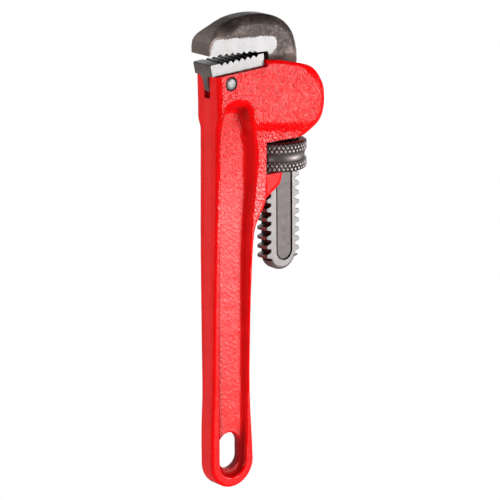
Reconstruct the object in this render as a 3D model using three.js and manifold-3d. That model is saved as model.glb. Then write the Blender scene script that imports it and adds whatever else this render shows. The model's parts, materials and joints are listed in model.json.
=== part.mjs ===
// Straight pipe wrench, 10 inch class: cast I-beam handle with a loop head, a sliding forged hook jaw with
// a real helical thread, a knurled adjusting nut in its window, a pinned heel jaw, and the coil and flat
// spring that let the hook jaw rock. Millimetres, +Z up along the handle, +X towards the back of the hook
// jaw, Y across the thickness. The wrench is symmetric about the plane Y = 0.
import * as THREE from "three";
import { mergeVertices } from "three/addons/utils/BufferGeometryUtils.js";
import Module from "manifold-3d";

const wasm = await Module();
wasm.setup();

// ---- driving dimensions (mm) -------------------------------------------------------------------------
const SHIFT_X = -6.35; // moves the drawing so that the overall box is centred on X = 0
const SHIFT_Z = 3.5; // moves the drawing so that the handle's end is at Z = 0
const GAP = 0.3; // assembly gap between touching pieces

// handle and head
const END_X = -15.6; // centre of the round handle end
const END_Z = 9.9;
const END_R = 13.4;
const HEAD_HALF = 9.9; // half thickness of the head plateau
const WEB_HALF = 2.1; // half thickness of the I-beam web
const EDGE = 2.6; // chamfer of the head's edges
// [height, half thickness] of the tapered casting below the plateau
const TAPER = [
  [-4, 5.2], [46, 5.35], [100, 6.3], [150, 7.4], [178, 8.2], [185, 8.6], [190, HEAD_HALF],
];

// thread of the hook jaw's shank
const AXIS_X = 18.3; // axis of the shank and of the nut
const PITCH = 4.88;
const R_CREST = 11.5;
const R_ROOT = 8.85;
const CREST_PHASE = 127.85; // height of a crest at the angle 0
const SHANK_HALF = 4.15; // half thickness of the shank bar
const SHANK_BOTTOM = 107.4;
const THREAD_TOP = 178.5;

// adjusting nut and its window
const NUT_R = 14.75;
const NUT_Z0 = 161.3;
const NUT_Z1 = 176.1;
const WINDOW_Z0 = 160.6;
const WINDOW_Z1 = 176.8;
const WINDOW_R = 15.1;

// channel for the shank
const CHANNEL_HALF = 4.7;
const CHANNEL_FRONT = 4.9;
const CHANNEL_BACK = 30.3;
const FORK_FRONT = 5.9;

// jaws
const JAW_HALF = 7.6; // half thickness of the hook
const HEEL_HALF = 7.3; // half thickness of the heel jaw
const TOOTH_PITCH = 3.6;
const TOOTH_DEPTH = 1.3;
const TONGUE_HALF = 2.0;
const SEAT_SLOPE = 0.0604; // rise of the heel jaw's seat per mm of X
const PIN_X = -18.3;
const PIN_Z = 210.7;
const PIN_R = 2.9;

// spring set
const SPRING_Z = 197;
const POCKET_R = 3.7;
const POCKET_X = -3.5;
const COIL_R = 2.75; // to the middle of the wire
const WIRE_R = 0.45;
const LEAF_X0 = 5.75;
const LEAF_X1 = 6.4;
const RELIEF_X = 3.3; // front of the relief that the flat spring rocks into

// ---- solids ------------------------------------------------------------------------------------------
function solid(geometry) {
  const g = geometry.index ? geometry.toNonIndexed() : geometry.clone();
  g.deleteAttribute("normal");
  g.deleteAttribute("uv");
  const m = mergeVertices(g, 1e-4);
  return new wasm.Manifold(
    new wasm.Mesh({
      numProp: 3,
      vertProperties: new Float32Array(m.attributes.position.array),
      triVerts: new Uint32Array(m.index.array),
    }),
  );
}

function geometryOf(s) {
  const m = s.getMesh();
  const v = new Float32Array(m.numVert * 3);
  for (let i = 0; i < m.numVert; i++)
    v.set(m.vertProperties.subarray(i * m.numProp, i * m.numProp + 3), i * 3);
  const g = new THREE.BufferGeometry();
  g.setAttribute("position", new THREE.BufferAttribute(v, 3));
  g.setIndex(new THREE.BufferAttribute(new Uint32Array(m.triVerts), 1));
  const flat = g.toNonIndexed();
  flat.computeVertexNormals();
  return flat;
}

const shapeOf = (pts) => new THREE.Shape(pts.map(([x, y]) => new THREE.Vector2(x, y)));

// An outline in X and Z, extruded from y0 to y1.
function slabY(pts, y0, y1) {
  const g = new THREE.ExtrudeGeometry(shapeOf(pts), { depth: y1 - y0, bevelEnabled: false, curveSegments: 8 });
  g.rotateX(Math.PI / 2);
  g.translate(0, y1, 0);
  return solid(g);
}

// The same with both rims chamfered.
function slabChamfered(pts, half, c) {
  const g = new THREE.ExtrudeGeometry(shapeOf(pts), {
    depth: 2 * (half - c), bevelEnabled: true, bevelThickness: c, bevelSize: c, bevelOffset: -c, bevelSegments: 2,
  });
  g.rotateX(Math.PI / 2);
  g.translate(0, half - c, 0);
  return solid(g);
}

// An outline in Y and Z, extruded from x0 to x1.
function slabX(pts, x0, x1) {
  const g = new THREE.ExtrudeGeometry(shapeOf(pts), { depth: x1 - x0, bevelEnabled: false });
  g.applyMatrix4(new THREE.Matrix4().makeBasis(
    new THREE.Vector3(0, 1, 0), new THREE.Vector3(0, 0, 1), new THREE.Vector3(1, 0, 0)));
  g.translate(x0, 0, 0);
  return solid(g);
}

// An outline in X and Y, extruded from z0 to z1.
function slabZ(pts, z0, z1) {
  const g = new THREE.ExtrudeGeometry(shapeOf(pts), { depth: z1 - z0, bevelEnabled: false });
  g.translate(0, 0, z0);
  return solid(g);
}

const box = (x0, x1, y0, y1, z0, z1) => {
  const g = new THREE.BoxGeometry(x1 - x0, y1 - y0, z1 - z0);
  g.translate((x0 + x1) / 2, (y0 + y1) / 2, (z0 + z1) / 2);
  return solid(g);
};

// A round bar along Y or X.
function barY(x, z, r, y0, y1, n = 28) {
  const g = new THREE.CylinderGeometry(r, r, y1 - y0, n);
  g.translate(x, (y0 + y1) / 2, z);
  return solid(g);
}
function barX(z, r, x0, x1, n = 20) {
  const g = new THREE.CylinderGeometry(r, r, x1 - x0, n);
  g.rotateZ(Math.PI / 2);
  g.translate((x0 + x1) / 2, 0, z);
  return solid(g);
}

// Points along an arc, angles in degrees.
function arc(cx, cz, r, a0, a1, n) {
  const out = [];
  for (let i = 0; i <= n; i++) {
    const a = THREE.MathUtils.degToRad(a0 + ((a1 - a0) * i) / n);
    out.push([cx + r * Math.cos(a), cz + r * Math.sin(a)]);
  }
  return out;
}

// A smooth open curve through points, sampled.
const smooth = (pts, n) =>
  new THREE.SplineCurve(pts.map(([x, y]) => new THREE.Vector2(x, y))).getPoints(n).map((p) => [p.x, p.y]);

// A helically threaded rod about the Z axis. profile(u) is the radius at the phase u, 0 at a crest.
function threadedRod(profile, z0, z1, stepsPerPitch, around) {
  const rows = Math.round(((z1 - z0) / PITCH) * stepsPerPitch);
  const pos = [];
  const at = (i, j) => {
    const a = (2 * Math.PI * (j % around)) / around;
    const z = z0 + ((z1 - z0) * i) / rows;
    const r = profile((z - CREST_PHASE) / PITCH - a / (2 * Math.PI));
    return [r * Math.cos(a), r * Math.sin(a), z];
  };
  const tri = (...p) => p.forEach((q) => pos.push(...q));
  for (let i = 0; i < rows; i++)
    for (let j = 0; j < around; j++) {
      const a = at(i, j), b = at(i, j + 1), c = at(i + 1, j + 1), d = at(i + 1, j);
      tri(a, b, c);
      tri(a, c, d);
    }
  for (let j = 0; j < around; j++) {
    tri([0, 0, z0], at(0, j + 1), at(0, j));
    tri([0, 0, z1], at(rows, j), at(rows, j + 1));
  }
  const g = new THREE.BufferGeometry();
  g.setAttribute("position", new THREE.Float32BufferAttribute(pos, 3));
  g.translate(AXIS_X, 0, 0);
  return solid(g);
}
const wave = (u, grow) => THREE.MathUtils.clamp(0.5 + grow + 0.72 * Math.cos(2 * Math.PI * u), 0, 1);
const shankProfile = (u) => R_ROOT + (R_CREST - R_ROOT) * wave(u, 0);
const nutProfile = (u) => R_ROOT + 0.35 + (R_CREST - R_ROOT) * wave(u, 0.17);

// ---- handle and head, one casting --------------------------------------------------------------------
const frontEdge = smooth([
  [-26.7, 215.6], [-26.4, 202], [-26.3, 178], [-26.6, 150], [-27.2, 118], [-27.6, 90], [-27.8, 62], [-28.1, 46], [-28.9, 28], [-29, END_Z],
], 24);
const backEdge = smooth([
  [-2.2, END_Z], [-2.9, 24], [-3.7, 38], [-4.1, 55], [-3.8, 85], [-3.2, 106], [-2.5, 122], [-1.4, 132], [1.2, 137.8],
  [6.4, 144.4], [10.6, 147.8], [14.6, 151.2], [16.6, 154.6], [16.9, WINDOW_Z0 - 0.6],
], 34);
const headArc = smooth([
  [31.2, WINDOW_Z1 - 0.3], [34.2, 178.6], [38.2, 182.2], [41.0, 186.4], [42.6, 191.4], [43.1, 196.2], [42.6, 201.1],
  [41.0, 205.2], [37.6, 210.2], [33.0, 213.3], [27.5, 215.2], [20, 217.2], [13, 218.9], [5.4, 219.9],
], 32);
const seat = (x) => 214.6 + SEAT_SLOPE * (x + 28.7);
const outline = [
  ...frontEdge,
  ...arc(END_X, END_Z, END_R, 180, 360, 18).slice(1, -1),
  ...backEdge,
  [20, WINDOW_Z0 + 2], [22, WINDOW_Z1 - 3],
  ...headArc,
  [4.75, 219.2], [4.75, seat(4.75)],
];
outline[0] = [-26.7, seat(-26.7)];

const thickness = slabX(
  [...TAPER, [222, HEAD_HALF]].map(([z, h]) => [h, z]).concat([...TAPER, [222, HEAD_HALF]].reverse().map(([z, h]) => [-h, z])),
  -60, 60);
const headBlank = slabChamfered(
  [[-50, 150], [24, 150], [34.2, 178.6], ...headArc.slice(3, -1), [-50, 226]], HEAD_HALF, EDGE)
  .add(box(-60, 33, -12, 12, -20, 179));

let housing = slabY(outline, -12, 12).intersect(thickness).intersect(headBlank);

// I-beam recesses on both broad faces
const recess = [
  ...arc(END_X, END_Z + 0.3, 8.7, 180, 360, 12),
  [-6.9, 42], [-6.2, 96], [-5.6, 126], [-4.4, 142], [-3.6, 156], [-3.4, 172], [-4.2, 184], [-6.4, 193.4],
  [-9.6, 198.4], [-13.4, 200.4], [-18.2, 200.2], [-21.8, 197.6], [-23.3, 193], [-23.7, 177.5], [-24.3, 99],
];
housing = housing.subtract(slabY(recess, WEB_HALF, 14)).subtract(slabY(recess, -14, -WEB_HALF));

// hang hole through the web
const hole = [...arc(END_X - 0.2, 11.9, 6.9, 180, 360, 12), ...arc(END_X - 0.2, 19.3, 6.9, 0, 180, 12)];
housing = housing.subtract(slabY(hole, -14, 14));

// window of the adjusting nut: a round pocket that is open to the back
const pocket = [...arc(AXIS_X, 0, WINDOW_R, 90, 270, 26), [60, -WINDOW_R], [60, WINDOW_R]];
housing = housing.subtract(slabZ(pocket, WINDOW_Z0, WINDOW_Z1));

// channel of the shank: closed through the head, an open fork below the nut
housing = housing
  .subtract(box(CHANNEL_FRONT, CHANNEL_BACK, -CHANNEL_HALF, CHANNEL_HALF, WINDOW_Z1 - 2, 230))
  .subtract(box(FORK_FRONT, 60, -CHANNEL_HALF, CHANNEL_HALF, 120, WINDOW_Z0 + 2))
  .subtract(box(RELIEF_X, CHANNEL_FRONT + 1, -4.1, 4.1, WINDOW_Z1 - 2, 213.8))
  .subtract(barX(SPRING_Z, POCKET_R, POCKET_X, 6));

// slot of the heel jaw's tongue, and the hole of its pin
housing = housing
  .subtract(box(-40, -8.4, -TONGUE_HALF - GAP, TONGUE_HALF + GAP, 203, 230))
  .subtract(barY(PIN_X, PIN_Z, PIN_R + 0.35, -14, 14));

// ---- heel jaw ----------------------------------------------------------------------------------------
const heelBase = (x) => seat(x) + GAP;
const heelTop = (x) => 221.05 + 0.07 * (x + 29.3);
const heelTeeth = [];
for (let i = 6; i >= 0; i--) {
  const v = -22.4 + i * TOOTH_PITCH;
  heelTeeth.push([v + TOOTH_DEPTH, heelTop(v + TOOTH_DEPTH)], [v, heelTop(v) - TOOTH_DEPTH], [v - TOOTH_DEPTH, heelTop(v - TOOTH_DEPTH)]);
}
let heel = slabY(
  [
    [-28.3, heelBase(-28.3)], [4.3, heelBase(4.3)], [4.0, heelTop(4.0) - 0.3], [3.6, heelTop(3.6)],
    ...heelTeeth,
    [-28.9, heelTop(-28.9)], [-29.5, heelTop(-29.5) - 0.7],
  ], -HEEL_HALF, HEEL_HALF);
heel = heel
  .add(slabY([[-26.5, 206.7], [-9, 206.7], [-9, 218], [-28.4, 218], [-28.4, 215.4]], -TONGUE_HALF, TONGUE_HALF))
  .subtract(barY(PIN_X, PIN_Z, PIN_R + 0.35, -14, 14));

const pin = barY(PIN_X, PIN_Z, PIN_R, -9.6, 9.6);

// ---- hook jaw ----------------------------------------------------------------------------------------
const hookTeeth = [];
for (let i = 0; i < 7; i++) {
  const t = -25.2 + i * 3.65; // a tooth's tip
  const z = i === 0 ? 225.5 : 224.95 - 0.08 * i;
  hookTeeth.push([t, z], [t + 1.85, 226.25 - 0.12 * i]);
}
const hookOuter = smooth([
  [27.2, 216.6], [27.1, 221.5], [26.3, 226.4], [24.6, 231.0], [21.8, 235.2], [17.2, 239.0], [11.0, 241.7], [3.6, 243.2],
  [-4.2, 243.5], [-11.8, 242.7], [-17.9, 240.9], [-23.1, 238.4], [-27.2, 235.3], [-29.7, 232.0], [-30.4, 229.0],
], 34);
let hook = slabY(
  [
    [-30.3, 226.1], [-27.6, 226.1], [-26.9, 226.5], ...hookTeeth.slice(0, -1), [-2.1, 225.2], [-0.6, 224.3], [5.9, 224.2],
    [6.7, 223.3], [6.7, 221.0], [13.2, 220.1], [20.2, 218.5],
    ...hookOuter,
  ], -JAW_HALF, JAW_HALF);
const endR = 9.2;
const shankOutline = [
  [AXIS_X - 12, 230], [AXIS_X - 12, SHANK_BOTTOM + 6.4],
  ...arc(AXIS_X, SHANK_BOTTOM + endR, endR, 205, 335, 10),
  [AXIS_X + 12, SHANK_BOTTOM + 6.4], [AXIS_X + 12, 230],
];
const thread = threadedRod(shankProfile, SHANK_BOTTOM - 1, THREAD_TOP, 6, 30).intersect(slabY(shankOutline, -SHANK_HALF, SHANK_HALF));
// shallow panels on the shank's broad faces
const panel = [...arc(19.1, 117.6, 5.2, 180, 360, 10), [24.3, 173], [13.9, 173]];
hook = hook
  .add(box(AXIS_X - 11.3, 27.2, -SHANK_HALF, SHANK_HALF, THREAD_TOP - 1, 222.5))
  .add(thread)
  .subtract(slabY(panel, SHANK_HALF - 0.35, 9)).subtract(slabY(panel, -9, -SHANK_HALF + 0.35));

// ---- adjusting nut -----------------------------------------------------------------------------------
const nutMid = (NUT_Z0 + NUT_Z1) / 2;
const nutProfilePts = [
  [0, NUT_Z0], [13.6, NUT_Z0], [NUT_R, NUT_Z0 + 0.9], [NUT_R, nutMid - 2.6], [NUT_R - 0.8, nutMid - 1.9],
  [NUT_R - 1.3, nutMid], [NUT_R - 0.8, nutMid + 1.9], [NUT_R, nutMid + 2.6], [NUT_R, NUT_Z1 - 0.9], [13.6, NUT_Z1], [0, NUT_Z1],
].map(([r, z]) => new THREE.Vector2(r, z));
const nutBlank = new THREE.LatheGeometry(nutProfilePts, 40);
nutBlank.rotateX(Math.PI / 2); // the lathe's axis is Y: turn it to Z
nutBlank.translate(AXIS_X, 0, 0);
const nut = solid(nutBlank).subtract(threadedRod(nutProfile, NUT_Z0 - PITCH / 2, NUT_Z1 + PITCH / 2, 7, 30));

// ---- spring set --------------------------------------------------------------------------------------
class Helix extends THREE.Curve {
  constructor(x0, x1, turns) {
    super();
    Object.assign(this, { x0, x1, turns });
  }
  getPoint(t, target = new THREE.Vector3()) {
    const a = 2 * Math.PI * this.turns * t;
    return target.set(this.x0 + (this.x1 - this.x0) * t, COIL_R * Math.cos(a), SPRING_Z + COIL_R * Math.sin(a));
  }
}
const wire = new THREE.Shape(new THREE.Path().absarc(0, 0, WIRE_R, 0, 2 * Math.PI).getPoints(4).slice(0, -1));
const coil = solid(new THREE.ExtrudeGeometry(wire, {
  steps: 72, bevelEnabled: false, extrudePath: new Helix(POCKET_X + GAP + WIRE_R, 4.4 - WIRE_R, 5),
}));

const leaf = slabY(
  [
    [LEAF_X0 + 0.1, 179], [LEAF_X1 + 0.1, 179], [LEAF_X1, 181.5], [LEAF_X1, 210.4], [LEAF_X1 - 0.15, 212.2],
    [LEAF_X0 - 0.2, 213.1], [LEAF_X0 - 0.6, 212.6], [LEAF_X0 - 0.1, 211.6], [LEAF_X0, 210], [LEAF_X0, 181.5],
  ], -3.5, 3.5).subtract(barX(SPRING_Z, 1.4, 5, 8, 16));
const rivet = barX(SPRING_Z, 1.1, 0, LEAF_X1 - 0.05, 16).add(barX(SPRING_Z, 2.0, 4.75, 5.45, 16));

// ---- scene graph -------------------------------------------------------------------------------------
const mesh = (name, s, color, roughness, metalness) => {
  const m = new THREE.Mesh(geometryOf(s), new THREE.MeshStandardMaterial({ color, roughness, metalness }));
  m.name = name;
  return m;
};

const wrench = new THREE.Group();
wrench.name = "pipe_wrench";
const body = new THREE.Group();
body.name = "housing_body";
body.add(mesh("handle_housing", housing, 0xd81c1f, 0.42, 0.1));
body.add(mesh("heel_jaw", heel, 0xa9a7a6, 0.35, 0.9));
body.add(mesh("heel_jaw_pin", pin, 0xb9b8b6, 0.3, 1.0));
body.add(mesh("coil_spring", coil, 0x6f6f72, 0.35, 1.0));
const rocker = new THREE.Group();
rocker.name = "rocking_set";
rocker.add(mesh("flat_spring", leaf, 0x6d7078, 0.35, 1.0));
rocker.add(mesh("spring_rivet", rivet, 0x8a8a8c, 0.35, 1.0));
rocker.add(mesh("hook_jaw", hook, 0x4b423f, 0.45, 0.8));
rocker.add(mesh("adjusting_nut", nut, 0x55514f, 0.45, 0.9));
wrench.add(body, rocker);
body.position.set(SHIFT_X, 0, SHIFT_Z);
rocker.position.set(SHIFT_X, 0, SHIFT_Z);

export default wrench;
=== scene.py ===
"""Looks of a straight pipe wrench, 10 inch class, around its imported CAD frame.

Lengths inside the shape functions are millimetres in the drawing's own axes: X from the jaw's mouth towards the
back, Y across the thickness, Z up the handle. SHIFT moves them to the row frame. Every mesh goes out in metres.
"""

import json
import math

import bpy
import numpy as np
from mathutils import Matrix, Vector

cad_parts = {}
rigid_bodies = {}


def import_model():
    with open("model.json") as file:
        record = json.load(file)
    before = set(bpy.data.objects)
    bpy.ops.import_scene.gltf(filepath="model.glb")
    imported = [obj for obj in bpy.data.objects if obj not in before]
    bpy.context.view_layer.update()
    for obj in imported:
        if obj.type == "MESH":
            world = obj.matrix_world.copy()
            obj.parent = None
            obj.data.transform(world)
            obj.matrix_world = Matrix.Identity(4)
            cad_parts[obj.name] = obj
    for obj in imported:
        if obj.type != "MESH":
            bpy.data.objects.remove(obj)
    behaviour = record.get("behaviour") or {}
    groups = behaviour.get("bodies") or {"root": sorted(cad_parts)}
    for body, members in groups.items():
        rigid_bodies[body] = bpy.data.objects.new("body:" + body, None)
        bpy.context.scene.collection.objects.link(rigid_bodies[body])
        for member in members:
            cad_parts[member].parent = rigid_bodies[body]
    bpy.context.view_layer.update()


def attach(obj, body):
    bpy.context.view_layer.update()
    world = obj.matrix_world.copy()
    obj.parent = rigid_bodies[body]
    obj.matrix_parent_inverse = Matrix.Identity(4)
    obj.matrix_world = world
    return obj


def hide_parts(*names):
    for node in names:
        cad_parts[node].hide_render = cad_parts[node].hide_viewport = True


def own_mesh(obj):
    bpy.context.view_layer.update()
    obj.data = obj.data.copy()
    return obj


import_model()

SHIFT = np.array([-6.35, 0.0, 3.5])
scene = bpy.context.scene

# ------------------------------------------------------------------------------------------------ helpers


def spline(pts, n):
    """A uniform Catmull-Rom curve through points, n steps."""
    p = np.asarray(pts, float)
    last = len(p) - 1
    out = []
    for i in range(n + 1):
        u = last * i / n
        k = min(int(u), last - 1)
        w = u - k
        a, b, c, d = p[max(k - 1, 0)], p[k], p[k + 1], p[min(k + 2, last)]
        v0, v1 = (c - a) / 2, (d - b) / 2
        out.append((2 * b - 2 * c + v0 + v1) * w**3 + (-3 * b + 3 * c - 2 * v0 - v1) * w**2 + v0 * w + b)
    return [tuple(q) for q in out]


def arc(cx, cz, r, a0, a1, n):
    a = np.radians(np.linspace(a0, a1, n + 1))
    return [(cx + r * math.cos(t), cz + r * math.sin(t)) for t in a]


class Field:
    """Signed distance to a closed outline, negative inside, read from a fine table."""

    def __init__(self, pts, step=0.25, pad=12.0):
        p = np.asarray(pts, float)
        keep = np.linalg.norm(p - np.roll(p, 1, 0), axis=1) > 1e-6
        p = p[keep]
        q = np.roll(p, -1, 0)
        self.step = step
        self.lo = p.min(0) - pad
        n = np.ceil((p.max(0) + pad - self.lo) / step).astype(int) + 1
        ax = self.lo[0] + step * np.arange(n[0])
        az = self.lo[1] + step * np.arange(n[1])
        gx, gz = ax[:, None], az[None, :]
        best = np.full(tuple(n), 1e9)
        inside = np.zeros(tuple(n), bool)
        for (x0, z0), (x1, z1) in zip(p, q):
            ex, ez = x1 - x0, z1 - z0
            wx, wz = gx - x0, gz - z0
            t = np.clip((wx * ex + wz * ez) / (ex * ex + ez * ez), 0, 1)
            np.minimum(best, (wx - ex * t) ** 2 + (wz - ez * t) ** 2, out=best)
            if z0 != z1:
                rows = (az >= min(z0, z1)) & (az < max(z0, z1))
                inside ^= rows[None, :] & (gx < (x0 + (az - z0) * ex / ez)[None, :])
        self.v = np.where(inside, -1.0, 1.0) * np.sqrt(best)
        self.n = n

    def __call__(self, x, z):
        u = np.clip((x - self.lo[0]) / self.step, 0, self.n[0] - 1.001)
        w = np.clip((z - self.lo[1]) / self.step, 0, self.n[1] - 1.001)
        u, w = np.broadcast_arrays(u, w)
        i, k = u.astype(int), w.astype(int)
        fu, fw = u - i, w - k
        v = self.v
        return (v[i, k] * (1 - fu) + v[i + 1, k] * fu) * (1 - fw) + (v[i, k + 1] * (1 - fu) + v[i + 1, k + 1] * fu) * fw


def step01(a, b, x):
    t = np.clip((x - a) / (b - a), 0, 1)
    return t * t * (3 - 2 * t)


def smax(a, b, k):
    h = np.maximum(k - np.abs(a - b), 0) / k
    return np.maximum(a, b) + h * h * k / 4


def smin(a, b, k):
    h = np.maximum(k - np.abs(a - b), 0) / k
    return np.minimum(a, b) - h * h * k / 4


def rim(d, ay, half, ra, rb):
    """A plate of outline distance d and half thickness half, its rims rounded ra in the plane and rb across."""
    u = (d + ra) / ra
    v = (ay - half + rb) / rb
    g = np.sqrt(np.maximum(u, 0) ** 2 + np.maximum(v, 0) ** 2) + np.minimum(np.maximum(u, v), 0) - 1
    return g * np.minimum(ra, rb)


def waves(x, y, z, size, seed, octaves=2):
    """Smooth repeatable unevenness, about -1 to 1."""
    rng = np.random.RandomState(seed)
    out = 0.0
    amp, total = 1.0, 0.0
    for _ in range(octaves):
        for _ in range(4):
            k = rng.normal(size=3)
            k = k / np.linalg.norm(k) * (2 * math.pi / size) * rng.uniform(0.7, 1.3)
            out = out + amp * np.sin(k[0] * x + k[1] * y + k[2] * z + rng.uniform(0, 6.28))
            total += amp
        size, amp = size / 2.1, amp * 0.55
    return out / total * 1.6


def contour(f, lo, hi, h, soft=0.02):
    """Dual contouring of f, negative inside: keeps sharp edges. Returns vertices in mm and quads."""
    lo = np.asarray(lo, float)
    n = [int(math.ceil((hi[a] - lo[a]) / h)) + 1 for a in range(3)]
    ax = [lo[a] + h * np.arange(n[a]) for a in range(3)]
    F = np.array(np.broadcast_to(f(ax[0][:, None, None], ax[1][None, :, None], ax[2][None, None, :]), n))
    F[F == 0] = 1e-7
    S = F < 0
    strides = np.array([n[1] * n[2], n[2], 1])
    ids, pts, nrm, quads = [], [], [], []
    for a in range(3):
        e = np.zeros(3, int)
        e[a] = 1
        s0 = S[tuple(slice(None, -1) if b == a else slice(None) for b in range(3))]
        s1 = S[tuple(slice(1, None) if b == a else slice(None) for b in range(3))]
        idx = np.argwhere(s0 != s1)
        b, c = (a + 1) % 3, (a + 2) % 3
        ok = (idx[:, b] > 0) & (idx[:, c] > 0) & (idx[:, b] < n[b] - 1) & (idx[:, c] < n[c] - 1)
        idx = idx[ok]
        f0 = F[idx[:, 0], idx[:, 1], idx[:, 2]]
        j = idx + e
        f1 = F[j[:, 0], j[:, 1], j[:, 2]]
        t0, t1 = np.zeros(len(idx)), np.ones(len(idx))
        base = lo + h * idx
        rising = f0 < 0
        t = t0 + (t1 - t0) * f0 / (f0 - f1)
        for turn in range(4):
            p = base + (t * h)[:, None] * e
            fm = f(p[:, 0], p[:, 1], p[:, 2])
            same = (fm < 0) == (f0 < 0)
            t0, f0 = np.where(same, t, t0), np.where(same, fm, f0)
            t1, f1 = np.where(same, t1, t), np.where(same, f1, fm)
            den = f0 - f1
            mix = np.where(np.abs(den) > 1e-12, f0 / np.where(np.abs(den) > 1e-12, den, 1), 0.5)
            if turn == 1:
                mix = np.full(len(idx), 0.5)
            t = t0 + (t1 - t0) * np.clip(mix, 0.02, 0.98)
        p = base + (t * h)[:, None] * e
        g = np.empty_like(p)
        eps = 0.02
        for k in range(3):
            q = p.copy()
            q[:, k] += eps
            hi_v = f(q[:, 0], q[:, 1], q[:, 2])
            q[:, k] -= 2 * eps
            g[:, k] = hi_v - f(q[:, 0], q[:, 1], q[:, 2])
        g /= np.maximum(np.linalg.norm(g, axis=1), 1e-12)[:, None]
        cell = idx @ strides
        four = np.stack([cell - strides[b] - strides[c], cell - strides[c], cell, cell - strides[b]], 1)
        quads.append(np.where(rising[:, None], four, four[:, ::-1]))
        for k in range(4):
            ids.append(four[:, k])
            pts.append(p)
            nrm.append(g)
    ids, pts, nrm = np.concatenate(ids), np.concatenate(pts), np.concatenate(nrm)
    cells, inv = np.unique(ids, return_inverse=True)
    m = len(cells)
    cnt = np.bincount(inv, minlength=m).astype(float)
    mass = np.stack([np.bincount(inv, pts[:, k], m) for k in range(3)], 1) / cnt[:, None]
    d = np.einsum("ij,ij->i", nrm, pts)
    A = np.empty((m, 3, 3))
    for r in range(3):
        for s in range(r, 3):
            A[:, r, s] = A[:, s, r] = np.bincount(inv, nrm[:, r] * nrm[:, s], m)
    rhs = np.stack([np.bincount(inv, nrm[:, k] * d, m) for k in range(3)], 1) - np.einsum("nij,nj->ni", A, mass)
    A += (soft * cnt)[:, None, None] * np.eye(3)
    v = mass + np.linalg.solve(A, rhs[:, :, None])[:, :, 0]
    corner = lo + h * np.stack([cells // strides[0], cells // strides[1] % n[1], cells % n[2]], 1)
    v = np.clip(v, corner + 0.03 * h, corner + 0.97 * h)
    quads = np.searchsorted(cells, np.concatenate(quads))
    return v, quads


def make_object(name, verts_mm, faces, shift=SHIFT):
    me = bpy.data.meshes.new(name)
    v = (np.asarray(verts_mm, float) + shift) * 0.001
    faces = np.asarray(faces)
    me.vertices.add(len(v))
    me.vertices.foreach_set("co", v.astype(np.float32).ravel())
    k = faces.shape[1]
    me.loops.add(faces.size)
    me.loops.foreach_set("vertex_index", faces.astype(np.int32).ravel())
    me.polygons.add(len(faces))
    me.polygons.foreach_set("loop_start", np.arange(0, faces.size, k, dtype=np.int32))
    me.polygons.foreach_set("loop_total", np.full(len(faces), k, np.int32))
    me.update(calc_edges=True)
    me.validate()
    ob = bpy.data.objects.new(name, me)
    scene.collection.objects.link(ob)
    return ob


def smooth(ob, degrees=34):
    me = ob.data
    me.polygons.foreach_set("use_smooth", np.ones(len(me.polygons), bool))
    me.set_sharp_from_angle(angle=math.radians(degrees))
    me.update()


def thin(ob, ratio):
    """Fewer faces where the surface is flat."""
    mod = ob.modifiers.new("thin", "DECIMATE")
    mod.ratio = ratio
    bpy.context.view_layer.update()
    dg = bpy.context.evaluated_depsgraph_get()
    me = bpy.data.meshes.new_from_object(ob.evaluated_get(dg))
    old = ob.data
    ob.modifiers.clear()
    ob.data = me
    me.name = ob.name
    bpy.data.meshes.remove(old)


def face_data(ob):
    """Face centres in drawing mm, and face normals."""
    me = ob.data
    c = np.empty(len(me.polygons) * 3, np.float32)
    nn = np.empty(len(me.polygons) * 3, np.float32)
    me.polygons.foreach_get("center", c)
    me.polygons.foreach_get("normal", nn)
    return c.reshape(-1, 3) * 1000 - SHIFT, nn.reshape(-1, 3)


def set_materials(ob, mats, index=None):
    ob.data.materials.clear()
    for m in mats:
        ob.data.materials.append(m)
    if index is not None:
        ob.data.polygons.foreach_set("material_index", np.asarray(index, np.int32))
    ob.data.update()


# ------------------------------------------------------------------------------------------------ materials


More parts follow.
